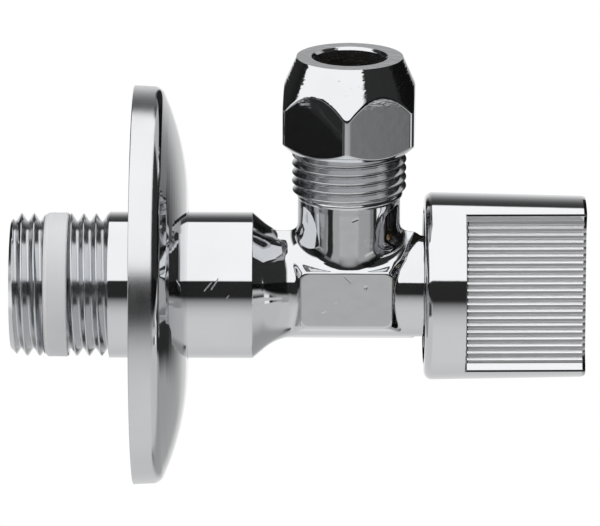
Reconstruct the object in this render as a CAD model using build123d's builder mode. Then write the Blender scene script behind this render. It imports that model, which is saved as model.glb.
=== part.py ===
from build123d import *
import os
from math import cos, radians, sin, sqrt, tan

os.makedirs("parts", exist_ok=True)

# Angle valve with a G 1/2 male inlet, a 3/8 inch compression outlet and a sliding wall rosette.
# The inlet end face is centred on the origin. +X runs along the body to the knob, +Z up the outlet.
# All lengths are in millimetres and all angles in degrees.

# Body, from the wall side to the knob side
inlet_thread_diameter = 20.955
inlet_thread_length = 14.3
inlet_bevel = 1.1
seal_groove_start = 4.9
seal_groove_width = 3.6
seal_groove_depth = 1.2
shank_diameter = 21.4
shank_length = 21.0
cone_length = 3.8
barrel_diameter = 14.9
cone_to_outlet = 10.2
outlet_to_barrel_end = 12.1
inlet_bore_diameter = 12.0
barrel_wall = 1.95
seat_web = 3.6
seat_lip_width = 0.9
seat_lip_height = 0.6
seat_to_outlet = 6.3

# Outlet branch of the body
branch_step = 0.1
outlet_neck_height = 13.0
outlet_thread_diameter = 16.662
outlet_run_out = 1.25
outlet_height = 27.5
outlet_bevel = 0.7
outlet_bore_diameter = 8.0
pipe_diameter = 10.0
pipe_clearance = 0.1
pipe_stop_height = 16.0
branch_blend = 1.6

# Wrench block forged round the crossing
block_width = 13.4
block_height = 8.5
block_stand_out = 0.1
block_offset = -0.35
block_relief = 0.7
block_draft = 30.0

# White plastic ring that seals the inlet thread
seal_ring_thickness = 1.2
seal_ring_edge = 0.4

# Wall rosette, pressed from sheet
rosette_diameter = 58.4
rosette_depth = 7.95
rosette_rim_draft = 3.0
rosette_dome_radius = 41.5
rosette_flat_diameter = 23.0
rosette_corner = 1.7
rosette_sheet = 0.9
rosette_gap = 0.2
rosette_stand_off = 3.6

# Compression nut and olive
nut_across_flats = 19.0
nut_turn = 2.6
nut_corner_round = 1.1
nut_overlap = 6.25
nut_height = 13.4
nut_top_diameter = 15.44
nut_bottom_diameter = 18.4
nut_cone_angle = 24.0
nut_bevel_angle = 48.0
nut_hole_clearance = 0.05
nut_mouth_bevel = 0.4
nut_ceiling_gap = 1.1
olive_mouth_width = 1.5
olive_lower_angle = 22.0
olive_upper_angle = 34.0
olive_reach = 2.5
olive_band = 0.8
olive_tip_wall = 0.35

# Headwork: the threaded insert that carries the spindle and the piston
travel = 4.5
headwork_wall = 1.35
headwork_seal_thickness = 0.6
headwork_seal_width = 1.2
headwork_hex = 14.0
headwork_web = 0.8
headwork_neck_wall = 1.1
headwork_lip = 0.8
clip_groove_depth = 0.5
clip_thickness = 0.6
clip_width = 1.0
clip_opening = 60.0
slip_washer_thickness = 0.5

# Piston with its washer
washer_thickness = 2.2
washer_overlap = 1.0
washer_recess = 1.0
piston_head_gap = 0.65
piston_head_floor = 2.2
piston_head_wall = 0.35
piston_neck_diameter = 5.6
piston_neck_length = 5.5
piston_land_length = 3.1
piston_tail_length = 6.4
piston_ring_section = 1.2
piston_ring_wall = 0.95
piston_flat_depth = 0.65
washer_screw_diameter = 2.5
washer_screw_length = 6.5
washer_screw_head = 4.8
washer_screw_head_height = 1.2
screw_slot = 0.6

# Spindle
spindle_barrel_length = 3.5
spindle_ring_section = 1.1
spindle_step = 0.75
spindle_square_step = 0.6

# Knob
knob_overlap = 1.1
knob_length = 23.5
knob_start_diameter = 27.5
knob_end_diameter = 26.5
knob_edge = 1.8
knob_end_edge = 0.5
knob_wall = 2.0
knob_collar_length = 5.9
knob_shoulder_wall = 1.4
knob_lip_chord = 22.86
knob_flat_depth = 0.82
knob_flat_wall = 1.0
knob_rest_turn = -8.25
knob_groove_count = 20
knob_groove_pitch = 1.016
knob_groove_width = 0.45
knob_groove_depth = 0.23
knob_flat_run_out = 0.45
knob_end_wall = 3.5
knob_hub_diameter = 9.4
knob_hub_web = 1.2
knob_inner_rib = 1.2
cap_edge_wall = 0.93
cap_recess = 1.8
cap_thickness = 1.5
knob_screw_diameter = 3.0
knob_screw_length = 8.0
knob_screw_head = 5.6
knob_screw_head_height = 2.0
lock_washer_thickness = 0.6
lock_washer_width = 1.1
lock_washer_split = 0.8

# Clearances between pieces that meet
seat_gap = 0.05
fit = 0.1
ring_fit = 0.03
end_gap = 0.25
turn_gap = 0.4

# Places along the valve axis
shank_start = inlet_thread_length
shank_end = shank_start + shank_length
cone_end = shank_end + cone_length
outlet_x = cone_end + cone_to_outlet
barrel_end = outlet_x + outlet_to_barrel_end
seat_x = outlet_x - seat_to_outlet
chamber_start = seat_x - seat_lip_height
knob_start = barrel_end - knob_overlap
knob_end = knob_start + knob_length
flats_start = knob_start + knob_collar_length

# Radii worked out from the driving sizes
barrel_radius = barrel_diameter / 2
inlet_thread_radius = inlet_thread_diameter / 2
shank_radius = shank_diameter / 2
chamber_radius = barrel_radius - barrel_wall
piston_head_radius = chamber_radius - piston_head_gap
washer_radius = piston_head_radius - piston_head_wall
seat_hole_radius = washer_radius - washer_overlap
headwork_radius = chamber_radius - fit / 2
piston_bore_radius = headwork_radius - headwork_wall
piston_radius = piston_bore_radius - fit
piston_ring_floor = piston_bore_radius - ring_fit - piston_ring_section - ring_fit
piston_flat = (piston_radius - piston_flat_depth) * 2
screw_hole_radius = piston_ring_floor - piston_ring_wall
spindle_screw_radius = screw_hole_radius - fit
knob_start_radius = knob_start_diameter / 2
knob_end_radius = knob_end_diameter / 2
lip_half_chord = knob_lip_chord / 2


def flat_distance(x):
    """Distance of a grip flat from the valve axis at x. The lips keep their chord as the knob tapers."""
    radius = knob_start_radius - (knob_start_radius - knob_end_radius) * (x - knob_start) / knob_length
    return sqrt(radius**2 - lip_half_chord**2) - knob_flat_depth


flat_start_distance = flat_distance(flats_start)
flat_end_distance = flat_distance(knob_end)
knob_cavity_half = flat_distance(knob_end - knob_end_wall) - knob_flat_wall
headwork_neck_radius = knob_cavity_half - turn_gap
spindle_bore_radius = headwork_neck_radius - headwork_neck_wall
spindle_barrel_radius = spindle_bore_radius - fit
spindle_stem_radius = spindle_bore_radius - spindle_step
spindle_square = (spindle_stem_radius - spindle_square_step) * 2
cap_radius = flat_end_distance - knob_flat_run_out - cap_edge_wall
pipe_hole_radius = pipe_diameter / 2 + pipe_clearance


def across(x, turn=0.0):
    """Sketch plane square to the valve axis at x, turned about that axis. Local x is Y, local y is Z."""
    side = (0, cos(radians(turn)), sin(radians(turn)))
    return Plane(origin=(x, 0, 0), x_dir=side, z_dir=(1, 0, 0))


def ring(start, end, outer, inner):
    """Plain ring on the valve axis."""
    with BuildPart() as turned:
        with BuildSketch(across(start)):
            Circle(outer)
            Circle(inner, mode=Mode.SUBTRACT)
        extrude(amount=end - start)
    return turned


def o_ring(middle, outer, section):
    """Round-section ring on the valve axis, given by its middle plane and outer radius."""
    with BuildPart() as moulded:
        with BuildSketch(Plane.XZ):
            with Locations((middle, outer - section / 2)):
                Circle(section / 2)
        revolve(axis=Axis.X)
    return moulded


def finish(piece, label):
    """Name a finished piece and write its file."""
    piece.part.label = label
    export_step(piece.part, "parts/" + label + ".step")


# Valve body: a brass forging, turned at the inlet, the barrel and the outlet
seal_groove_end = seal_groove_start + seal_groove_width
seal_groove_radius = inlet_thread_radius - seal_groove_depth
seal_ring_radius = seal_groove_radius + seat_gap + seal_ring_thickness
outlet_neck_radius = barrel_radius - branch_step
outlet_thread_radius = outlet_thread_diameter / 2
outlet_thread_start = outlet_neck_height + outlet_run_out
olive_mouth_radius = pipe_hole_radius + olive_mouth_width
olive_cone_depth = (olive_mouth_radius - pipe_hole_radius) / tan(radians(olive_lower_angle))
block_half = barrel_radius + block_stand_out

with BuildPart() as valve_body:
    with BuildSketch(Plane.XZ):
        with BuildLine():
            Polyline(
                (0, 0),
                (0, inlet_thread_radius - inlet_bevel),
                (inlet_bevel, inlet_thread_radius),
                (seal_groove_start, inlet_thread_radius),
                (seal_groove_start, seal_groove_radius),
                (seal_groove_end, seal_groove_radius),
                (seal_groove_end, inlet_thread_radius),
                (shank_start, inlet_thread_radius),
                (shank_start, shank_radius),
                (shank_end, shank_radius),
                (cone_end, barrel_radius),
                (barrel_end, barrel_radius),
                (barrel_end, 0),
                close=True,
            )
        make_face()
    revolve(axis=Axis.X)
    # The branch stands on the barrel and is blended into it
    with BuildSketch():
        with Locations((outlet_x, 0)):
            Circle(outlet_neck_radius)
    extrude(amount=outlet_neck_height)
    crossing = valve_body.edges().filter_by(GeomType.BSPLINE).sort_by(SortBy.LENGTH)
    fillet(crossing, branch_blend)
    # Outlet thread at its full diameter, with a run-out below and a bevel at the mouth
    with BuildSketch(Plane.XZ):
        with BuildLine():
            Polyline(
                (outlet_x, outlet_neck_height),
                (outlet_x + outlet_neck_radius, outlet_neck_height),
                (outlet_x + outlet_thread_radius, outlet_thread_start),
                (outlet_x + outlet_thread_radius, outlet_height - outlet_bevel),
                (outlet_x + outlet_thread_radius - outlet_bevel, outlet_height),
                (outlet_x, outlet_height),
                close=True,
            )
        make_face()
    revolve(axis=Axis((outlet_x, 0, 0), (0, 0, 1)))
    # Two forged wrench flats, with drafted sides that sink into the barrel
    for side in (-1, 1):
        flat_plane = Plane(
            origin=(outlet_x + block_offset, side * block_half, 0), x_dir=(1, 0, 0), z_dir=(0, -side, 0)
        )
        with BuildSketch(flat_plane):
            RectangleRounded(block_width, block_height, block_relief)
        extrude(amount=block_half - piston_bore_radius, taper=-block_draft)
    # Waterway: inlet bore, seat with its raised lip, chamber for the headwork
    with BuildSketch(Plane.XZ):
        with BuildLine():
            Polyline(
                (0, 0),
                (0, inlet_bore_diameter / 2),
                (chamber_start - seat_web, inlet_bore_diameter / 2),
                (chamber_start - seat_web + inlet_bore_diameter / 2 - seat_hole_radius, seat_hole_radius),
                (seat_x, seat_hole_radius),
                (seat_x, seat_hole_radius + seat_lip_width),
                (chamber_start, seat_hole_radius + seat_lip_width),
                (chamber_start, chamber_radius),
                (barrel_end, chamber_radius),
                (barrel_end, 0),
                close=True,
            )
        make_face()
    revolve(axis=Axis.X, mode=Mode.SUBTRACT)
    # Outlet bore, pipe socket and the cone that takes the olive
    with BuildSketch(Plane.XZ):
        with BuildLine():
            Polyline(
                (outlet_x, 0),
                (outlet_x + outlet_bore_diameter / 2, 0),
                (outlet_x + outlet_bore_diameter / 2, pipe_stop_height),
                (outlet_x + pipe_hole_radius, pipe_stop_height),
                (outlet_x + pipe_hole_radius, outlet_height - olive_cone_depth),
                (outlet_x + olive_mouth_radius, outlet_height),
                (outlet_x, outlet_height),
                close=True,
            )
        make_face()
    revolve(axis=Axis((outlet_x, 0, 0), (0, 0, 1)), mode=Mode.SUBTRACT)
finish(valve_body, "valve_body")

# Sealing ring: white plastic, snapped into the groove that interrupts the inlet thread
with BuildPart() as thread_seal_ring:
    with BuildSketch(Plane.XZ):
        with BuildLine():
            Polyline(
                (seal_groove_start + seat_gap, seal_groove_radius + seat_gap),
                (seal_groove_start + seat_gap, seal_ring_radius - seal_ring_edge),
                (seal_groove_start + seat_gap + seal_ring_edge, seal_ring_radius),
                (seal_groove_end - seat_gap - seal_ring_edge / 2, seal_ring_radius),
                (seal_groove_end - seat_gap, seal_ring_radius - seal_ring_edge / 2),
                (seal_groove_end - seat_gap, seal_groove_radius + seat_gap),
                close=True,
            )
        make_face()
    revolve(axis=Axis.X)
finish(thread_seal_ring, "thread_seal_ring")

# Wall rosette: a dome with a straight rim, pressed from one sheet and open at the back
rosette_x = shank_start + rosette_stand_off
rosette_top = rosette_x + rosette_depth
dome_flat_radius = rosette_flat_diameter / 2
rim_radius = rosette_diameter / 2
rim_slope = tan(radians(rosette_rim_draft))


def dome_x(radius):
    """Place along the valve axis of the dome's outer face, at a radius."""
    return rosette_top - rosette_dome_radius + sqrt(rosette_dome_radius**2 - (radius - dome_flat_radius) ** 2)


rim_front_radius = rim_radius - (dome_x(rim_radius) - rosette_x) * rim_slope
dome_middle_radius = (rim_front_radius + dome_flat_radius) / 2
with BuildPart() as wall_rosette:
    with BuildSketch(Plane.XZ):
        with BuildLine():
            Polyline(
                (rosette_top, dome_flat_radius),
                (rosette_top, 0),
                (rosette_x, 0),
                (rosette_x, rim_radius),
                (dome_x(rim_front_radius), rim_front_radius),
            )
            ThreePointArc(
                (dome_x(rim_front_radius), rim_front_radius),
                (dome_x(dome_middle_radius), dome_middle_radius),
                (rosette_top, dome_flat_radius),
            )
        make_face()
    revolve(axis=Axis.X)
    rim_edge = wall_rosette.edges().filter_by(GeomType.CIRCLE).filter_by(
        lambda rim: rim_front_radius - fit < rim.radius < rim_radius - fit
    )
    fillet(rim_edge, rosette_corner)
    offset(amount=-rosette_sheet, openings=wall_rosette.faces().filter_by(Axis.X).sort_by(Axis.X)[0])
    with BuildSketch(across(rosette_x)):
        Circle(shank_radius + rosette_gap)
    extrude(amount=rosette_depth * 2, mode=Mode.SUBTRACT)
finish(wall_rosette, "wall_rosette")

# Compression nut: turned from hexagon bar, coned to the pipe hole
nut_bottom = outlet_height - nut_overlap
nut_top = nut_bottom + nut_height
nut_corner_radius = nut_across_flats / sqrt(3)
nut_corner_angle = 30.0
nut_top_radius = nut_top_diameter / 2
nut_hole_radius = pipe_hole_radius + nut_hole_clearance
nut_thread_radius = outlet_thread_radius + fit
nut_cone_bottom = nut_top - (nut_corner_radius + fit - nut_top_radius) / tan(radians(nut_cone_angle))
nut_bottom_radius = nut_bottom_diameter / 2
nut_bevel_top = nut_bottom + (nut_corner_radius + fit - nut_bottom_radius) / tan(radians(nut_bevel_angle))
nut_ceiling = outlet_height + nut_ceiling_gap

# Olive: brass ring with a cone at each end, squeezed between the body's mouth and the nut
olive_band_radius = olive_mouth_radius + fit
olive_band_start = outlet_height + (olive_band_radius - olive_mouth_radius + ring_fit * 2) / tan(
    radians(olive_lower_angle)
)
olive_band_end = olive_band_start + olive_band
olive_start = olive_band_start - olive_reach
olive_start_radius = olive_band_radius - olive_reach * tan(radians(olive_lower_angle))
olive_end_radius = pipe_hole_radius + olive_tip_wall
olive_end = olive_band_end + (olive_band_radius - olive_end_radius) / tan(radians(olive_upper_angle))
nut_seat_slope = tan(radians(olive_upper_angle))
nut_seat_radius = olive_band_radius + (olive_band_end - nut_ceiling) * nut_seat_slope + ring_fit * 2
nut_hole_start = nut_ceiling + (nut_seat_radius - nut_hole_radius) / nut_seat_slope

with BuildPart() as compression_nut:
    with BuildSketch(Plane.XY.offset(nut_bottom)) as nut_outline:
        with Locations((outlet_x, 0)):
            RegularPolygon(nut_corner_radius, 6, rotation=nut_corner_angle - nut_turn)
        fillet(nut_outline.vertices(), nut_corner_round)
    extrude(amount=nut_height)
    with BuildSketch(Plane.XZ):
        with BuildLine():
            Polyline(
                (outlet_x, nut_bottom),
                (outlet_x + nut_bottom_radius, nut_bottom),
                (outlet_x + nut_corner_radius + fit, nut_bevel_top),
                (outlet_x + nut_corner_radius + fit, nut_cone_bottom),
                (outlet_x + nut_top_radius, nut_top),
                (outlet_x, nut_top),
                close=True,
            )
        make_face()
    revolve(axis=Axis((outlet_x, 0, 0), (0, 0, 1)), mode=Mode.INTERSECT)
    with BuildSketch(Plane.XZ):
        with BuildLine():
            Polyline(
                (outlet_x, nut_bottom),
                (outlet_x + nut_thread_radius + nut_mouth_bevel, nut_bottom),
                (outlet_x + nut_thread_radius, nut_bottom + nut_mouth_bevel),
                (outlet_x + nut_thread_radius, nut_ceiling),
                (outlet_x + nut_seat_radius, nut_ceiling),
                (outlet_x + nut_hole_radius, nut_hole_start),
                (outlet_x + nut_hole_radius, nut_top - nut_mouth_bevel),
                (outlet_x + nut_hole_radius + nut_mouth_bevel, nut_top),
                (outlet_x, nut_top),
                close=True,
            )
        make_face()
    revolve(axis=Axis((outlet_x, 0, 0), (0, 0, 1)), mode=Mode.SUBTRACT)
finish(compression_nut, "compression_nut")

with BuildPart() as compression_olive:
    with BuildSketch(Plane.XZ):
        with BuildLine():
            Polyline(
                (outlet_x + pipe_hole_radius, olive_start),
                (outlet_x + olive_start_radius, olive_start),
                (outlet_x + olive_band_radius, olive_band_start),
                (outlet_x + olive_band_radius, olive_band_end),
                (outlet_x + olive_end_radius, olive_end),
                (outlet_x + pipe_hole_radius, olive_end),
                close=True,
            )
        make_face()
    revolve(axis=Axis((outlet_x, 0, 0), (0, 0, 1)))
finish(compression_olive, "compression_olive")

# Places of the piston, from its washer on the seat to the end of its keyed tail
washer_start = seat_x + seat_gap
piston_head_face = washer_start + washer_thickness
piston_head_start = piston_head_face - washer_recess
piston_neck_start = piston_head_face + piston_head_floor
piston_land_start = piston_neck_start + piston_neck_length
piston_land_end = piston_land_start + piston_land_length
piston_tail_end = piston_land_end + piston_tail_length
piston_ring_middle = (piston_land_start + piston_land_end) / 2

# Places in the headwork, which follow the piston at the two ends of its travel
headwork_start = piston_ring_middle - piston_ring_section
headwork_key_start = piston_land_end + travel + end_gap
headwork_key_end = piston_tail_end + travel + end_gap
spindle_barrel_start = headwork_key_end + headwork_web
spindle_barrel_end = spindle_barrel_start + spindle_barrel_length
slip_washer_start = spindle_barrel_end + seat_gap
clip_start = slip_washer_start + slip_washer_thickness + seat_gap
clip_groove_end = clip_start + clip_thickness + seat_gap
headwork_end = clip_groove_end + headwork_lip
hex_start = barrel_end + headwork_seal_thickness
hex_end = flats_start - knob_shoulder_wall - turn_gap
clip_groove_radius = spindle_bore_radius + clip_groove_depth

# Headwork body: turned brass, threaded into the barrel up to its hexagon
with BuildPart() as headwork_body:
    with BuildSketch(across(headwork_start)):
        Circle(headwork_radius)
    extrude(amount=hex_start - headwork_start)
    with BuildSketch(across(hex_start)):
        RegularPolygon(headwork_hex / sqrt(3), 6)
    extrude(amount=hex_end - hex_start)
    with BuildSketch(across(hex_end)):
        Circle(headwork_neck_radius)
    extrude(amount=headwork_end - hex_end)
    with BuildSketch(Plane.XZ):
        with BuildLine():
            Polyline(
                (headwork_start, 0),
                (headwork_start, piston_bore_radius + fit),
                (headwork_start + fit, piston_bore_radius),
                (headwork_key_start, piston_bore_radius),
                (headwork_key_start, 0),
                close=True,
            )
        make_face()
    revolve(axis=Axis.X, mode=Mode.SUBTRACT)
    # Keyway with two flats that keep the piston from turning
    with BuildSketch(across(headwork_key_start)):
        Circle(piston_bore_radius)
        Rectangle(piston_bore_radius * 2, piston_flat + fit * 2, mode=Mode.INTERSECT)
    extrude(amount=headwork_key_end - headwork_key_start, mode=Mode.SUBTRACT)
    with BuildSketch(Plane.XZ):
        with BuildLine():
            Polyline(
                (headwork_key_end, 0),
                (headwork_key_end, spindle_screw_radius + fit),
                (spindle_barrel_start, spindle_screw_radius + fit),
                (spindle_barrel_start, spindle_bore_radius),
                (clip_start - seat_gap / 2, spindle_bore_radius),
                (clip_start - seat_gap / 2, clip_groove_radius),
                (clip_groove_end, clip_groove_radius),
                (clip_groove_end, spindle_bore_radius),
                (headwork_end, spindle_bore_radius),
                (headwork_end, 0),
                close=True,
            )
        make_face()
    revolve(axis=Axis.X, mode=Mode.SUBTRACT)
finish(headwork_body, "headwork_body")

headwork_seal = ring(
    barrel_end, hex_start, headwork_radius + fit + headwork_seal_width, headwork_radius + ring_fit
)
finish(headwork_seal, "headwork_seal")

# Piston: turned brass, with a cup for the washer, a ring land and a tail with two key flats
washer_screw_radius = washer_screw_diameter / 2
with BuildPart() as valve_piston:
    with BuildSketch(Plane.XZ):
        with BuildLine():
            Polyline(
                (piston_head_face, 0),
                (piston_head_face, washer_radius + fit / 2),
                (piston_head_start, washer_radius + fit / 2),
                (piston_head_start, piston_head_radius),
                (piston_neck_start, piston_head_radius),
                (piston_neck_start, piston_neck_diameter / 2),
                (piston_land_start, piston_neck_diameter / 2),
                (piston_land_start, piston_radius),
                (piston_ring_middle - piston_ring_section / 2 - seat_gap, piston_radius),
                (piston_ring_middle - piston_ring_section / 2 - seat_gap, piston_ring_floor),
                (piston_ring_middle + piston_ring_section / 2 + seat_gap, piston_ring_floor),
                (piston_ring_middle + piston_ring_section / 2 + seat_gap, piston_radius),
                (piston_tail_end, piston_radius),
                (piston_tail_end, 0),
                close=True,
            )
        make_face()
    revolve(axis=Axis.X)
    with BuildSketch(across(piston_land_end)):
        Rectangle(piston_radius * 3, piston_radius * 3)
        Rectangle(piston_radius * 3, piston_flat, mode=Mode.SUBTRACT)
    extrude(amount=piston_tail_length, mode=Mode.SUBTRACT)
    with BuildSketch(across(piston_land_start)):
        Circle(screw_hole_radius)
    extrude(amount=piston_tail_end - piston_land_start, mode=Mode.SUBTRACT)
    with BuildSketch(across(piston_head_face)):
        Circle(washer_screw_radius + ring_fit)
    extrude(amount=washer_screw_length - washer_thickness + end_gap, mode=Mode.SUBTRACT)
finish(valve_piston, "valve_piston")

piston_o_ring = o_ring(piston_ring_middle, piston_bore_radius - ring_fit, piston_ring_section)
finish(piston_o_ring, "piston_o_ring")

seat_washer = ring(washer_start, piston_head_face, washer_radius, washer_screw_radius + fit)
finish(seat_washer, "seat_washer")

with BuildPart() as washer_screw:
    with BuildSketch(across(washer_start)):
        Circle(washer_screw_radius)
    extrude(amount=washer_screw_length)
    with BuildSketch(across(washer_start)):
        Circle(washer_screw_head / 2)
    extrude(amount=-washer_screw_head_height)
    with BuildSketch(across(washer_start - washer_screw_head_height)):
        Rectangle(screw_slot, washer_screw_head + fit)
    extrude(amount=screw_slot, mode=Mode.SUBTRACT)
finish(washer_screw, "washer_screw")

# Places in the knob
cap_floor = knob_end - cap_recess
knob_screw_seat = cap_floor - end_gap - knob_screw_head_height - lock_washer_thickness
spindle_end = knob_screw_seat - knob_hub_web - fit
spindle_tip = piston_land_start + travel + end_gap
knob_screw_radius = knob_screw_diameter / 2
hub_start = headwork_end + end_gap
square_reach = hub_start - fit

# Spindle: turned brass, with a screw end, a barrel for two rings and a squared stem
spindle_ring_floor = spindle_bore_radius - ring_fit - spindle_ring_section - ring_fit
spindle_ring_places = [
    spindle_barrel_start + spindle_barrel_length * (1 + 2 * place) / 4 for place in range(2)
]
with BuildPart() as spindle:
    with BuildSketch(across(spindle_tip)):
        Circle(spindle_screw_radius)
    extrude(amount=spindle_barrel_start + seat_gap - spindle_tip)
    chamfer(spindle.edges().filter_by(GeomType.CIRCLE).sort_by(Axis.X)[0], spindle_screw_radius / 4)
    with BuildSketch(across(spindle_barrel_start + seat_gap)):
        Circle(spindle_barrel_radius)
    extrude(amount=spindle_barrel_length - seat_gap)
    with BuildSketch(across(spindle_barrel_end)):
        Circle(spindle_stem_radius)
    extrude(amount=square_reach - spindle_barrel_end)
    with BuildSketch(across(square_reach, knob_rest_turn)):
        Circle(spindle_stem_radius)
        Rectangle(spindle_square, spindle_square, mode=Mode.INTERSECT)
    extrude(amount=spindle_end - square_reach)
    for place in spindle_ring_places:
        with BuildSketch(across(place - spindle_ring_section / 2 - seat_gap)):
            Circle(spindle_barrel_radius + fit)
            Circle(spindle_ring_floor, mode=Mode.SUBTRACT)
        extrude(amount=spindle_ring_section + seat_gap * 2, mode=Mode.SUBTRACT)
    with BuildSketch(across(spindle_end)):
        Circle(knob_screw_radius + ring_fit)
    extrude(amount=-(knob_screw_length - knob_hub_web), mode=Mode.SUBTRACT)
finish(spindle, "spindle")

for number, place in enumerate(spindle_ring_places, start=1):
    finish(
        o_ring(place, spindle_bore_radius - ring_fit, spindle_ring_section), "spindle_o_ring_" + str(number)
    )

slip_washer = ring(
    slip_washer_start,
    slip_washer_start + slip_washer_thickness,
    spindle_bore_radius - ring_fit,
    spindle_stem_radius + fit,
)
finish(slip_washer, "slip_washer")

# Retaining clip: a spring steel C that snaps into the neck's groove
with BuildPart() as retaining_clip:
    with BuildSketch(across(clip_start)):
        Circle(clip_groove_radius - ring_fit)
        Circle(clip_groove_radius - ring_fit - clip_width, mode=Mode.SUBTRACT)
        with BuildLine():
            Polyline(
                (0, 0),
                (clip_groove_radius * 2, -clip_groove_radius * 2 * tan(radians(clip_opening / 2))),
                (clip_groove_radius * 2, clip_groove_radius * 2 * tan(radians(clip_opening / 2))),
                close=True,
            )
        make_face(mode=Mode.SUBTRACT)
    extrude(amount=clip_thickness)
finish(retaining_clip, "retaining_clip")

# Knob: moulded and chromed, a drafted cylinder with two ribbed flats behind a plain collar
knob_cavity_radius = knob_end_radius - knob_wall
knob_shoulder = flats_start - knob_shoulder_wall
flat_half_width = lip_half_chord - knob_flat_depth
first_groove = -(knob_groove_count - 1) * knob_groove_pitch / 2


def flat_outline(side):
    """Outline that cuts one grip flat: a lip that flares out at 45 degrees, V grooves, and the other lip."""
    face = side * flat_start_distance
    groove_floor = side * (flat_start_distance - knob_groove_depth)
    beyond = side * (flat_start_distance + knob_start_radius)
    outline = [(beyond, -flat_half_width - knob_start_radius), (face, -flat_half_width)]
    for groove in range(knob_groove_count):
        middle = first_groove + groove * knob_groove_pitch
        outline.append((face, middle - knob_groove_width / 2))
        outline.append((groove_floor, middle))
        outline.append((face, middle + knob_groove_width / 2))
    outline.append((face, flat_half_width))
    outline.append((beyond, flat_half_width + knob_start_radius))
    return outline


def flat_way(side):
    """Direction along one grip flat, which leans towards the axis as the knob tapers."""
    lean = -side * (flat_start_distance - flat_end_distance) / (knob_end - flats_start)
    return Vector(1, lean * cos(radians(knob_rest_turn)), lean * sin(radians(knob_rest_turn)))


with BuildPart() as knob:
    with BuildSketch(Plane.XZ):
        with BuildLine():
            Polyline(
                (knob_start, 0),
                (knob_start, knob_start_radius),
                (knob_end, knob_end_radius),
                (knob_end, 0),
                close=True,
            )
        make_face()
    revolve(axis=Axis.X)
    fillet(knob.edges().filter_by(GeomType.CIRCLE).sort_by(Axis.X)[0], knob_edge)
    # Grip flats, cut from the collar's shoulder to the free end
    for side in (-1, 1):
        with BuildSketch(across(flats_start, knob_rest_turn)):
            with BuildLine():
                Polyline(*flat_outline(side), close=True)
            make_face()
        extrude(amount=knob_length, dir=flat_way(side), mode=Mode.SUBTRACT)
    # The free end is bevelled, and so are the two flats there
    with BuildSketch(Plane.XZ):
        with BuildLine():
            Polyline(
                (knob_end, knob_end_radius - knob_end_edge),
                (knob_end - knob_end_edge, knob_start_radius),
                (knob_end, knob_start_radius),
                close=True,
            )
        make_face()
    revolve(axis=Axis.X, mode=Mode.SUBTRACT)
    for side in (-1, 1):
        with BuildSketch(Plane(origin=(0, 0, 0), x_dir=(1, 0, 0), z_dir=across(0, knob_rest_turn).y_dir)):
            with BuildLine():
                Polyline(
                    (knob_end + fit, -side * (flat_end_distance - knob_flat_run_out - fit)),
                    (knob_end - knob_flat_run_out - fit, -side * (flat_end_distance + fit)),
                    (knob_end + fit, -side * (flat_end_distance + fit)),
                    close=True,
                )
            make_face()
        extrude(amount=flat_half_width, both=True, mode=Mode.SUBTRACT)
    # Hollow under the collar, then the cavity that follows the flats
    with BuildSketch(across(knob_start)):
        Circle(knob_cavity_radius)
    extrude(amount=knob_shoulder - knob_start, mode=Mode.SUBTRACT)
    with BuildSketch(across(knob_shoulder, knob_rest_turn)):
        Circle(knob_cavity_radius)
        Rectangle(knob_cavity_half * 2, knob_start_diameter, mode=Mode.INTERSECT)
    extrude(amount=knob_end - knob_end_wall - knob_shoulder, mode=Mode.SUBTRACT)
    # Hub with its square socket, tied to the wall by two inner ribs
    with BuildSketch(across(hub_start, knob_rest_turn)):
        Circle(knob_hub_diameter / 2)
        Rectangle(knob_inner_rib, knob_cavity_radius * 2)
    extrude(amount=knob_end - knob_end_wall - hub_start)
    with BuildSketch(across(hub_start, knob_rest_turn)):
        Rectangle(spindle_square + fit * 2, spindle_square + fit * 2)
        Circle(spindle_stem_radius + fit, mode=Mode.INTERSECT)
    extrude(amount=spindle_end + fit - hub_start, mode=Mode.SUBTRACT)
    # Screw hole, screw well and cap recess in the free end
    with BuildSketch(Plane.XZ):
        with BuildLine():
            Polyline(
                (spindle_end, 0),
                (spindle_end, knob_screw_radius + fit),
                (knob_screw_seat, knob_screw_radius + fit),
                (knob_screw_seat, knob_screw_head / 2 + end_gap),
                (cap_floor, knob_screw_head / 2 + end_gap),
                (cap_floor, cap_radius),
                (knob_end, cap_radius),
                (knob_end, 0),
                close=True,
            )
        make_face()
    revolve(axis=Axis.X, mode=Mode.SUBTRACT)
finish(knob, "knob")

# Lock washer: spring steel, split at one side
with BuildPart() as lock_washer:
    with BuildSketch(across(knob_screw_seat)):
        Circle(knob_screw_radius + fit + lock_washer_width)
        Circle(knob_screw_radius + fit, mode=Mode.SUBTRACT)
        with Locations((knob_screw_head / 2, 0)):
            Rectangle(knob_screw_head, lock_washer_split, mode=Mode.SUBTRACT)
    extrude(amount=lock_washer_thickness)
finish(lock_washer, "lock_washer")

with BuildPart() as knob_screw:
    head_start = knob_screw_seat + lock_washer_thickness
    with BuildSketch(across(head_start)):
        Circle(knob_screw_radius)
    extrude(amount=-(knob_screw_length - end_gap))
    with BuildSketch(across(head_start)):
        Circle(knob_screw_head / 2)
    extrude(amount=knob_screw_head_height)
    fillet(knob_screw.edges().filter_by(GeomType.CIRCLE).sort_by(Axis.X)[-1], knob_screw_head_height / 3)
    with BuildSketch(across(head_start + knob_screw_head_height, knob_rest_turn)):
        Rectangle(knob_screw_head / 2, screw_slot)
        Rectangle(screw_slot, knob_screw_head / 2)
    extrude(amount=-knob_screw_head_height / 2, mode=Mode.SUBTRACT)
finish(knob_screw, "knob_screw")

# Cap: a plain moulded disc that closes the screw well
with BuildPart() as knob_cap:
    with BuildSketch(across(cap_floor + seat_gap)):
        Circle(cap_radius - fit / 2)
    extrude(amount=cap_thickness)
    fillet(knob_cap.edges().filter_by(GeomType.CIRCLE).sort_by(Axis.X)[-1], cap_thickness / 4)
finish(knob_cap, "knob_cap")
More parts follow.
